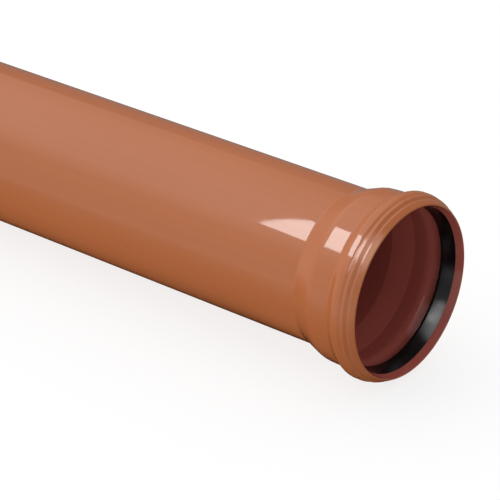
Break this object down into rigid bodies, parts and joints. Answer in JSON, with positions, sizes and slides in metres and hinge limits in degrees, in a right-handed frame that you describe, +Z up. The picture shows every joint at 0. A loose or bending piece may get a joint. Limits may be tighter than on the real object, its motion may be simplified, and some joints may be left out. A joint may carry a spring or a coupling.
{
  "type": "plastic drain pipe",
  "caption": "Straight underground drain pipe in orange-brown plastic, with a plain chamfered spigot at one end and a formed ring-seal socket at the other.",
  "frame": {"origin": "on the pipe's axis at the root of the socket's bore, where the end of a fitted pipe stops", "axes": "+X along the pipe's axis, out of the socket's mouth; +Z up as the pipe lies"},
  "size_m": [0.538, 0.1306, 0.1306],
  "materials": {
    "pipe": "semi-gloss orange-brown PVC",
    "seal_ring": "smooth black elastomer"
  },
  "bodies": {
    "root": {"pipe": "pipe", "seal_ring": "seal_ring"}
  },
  "joints": []
}
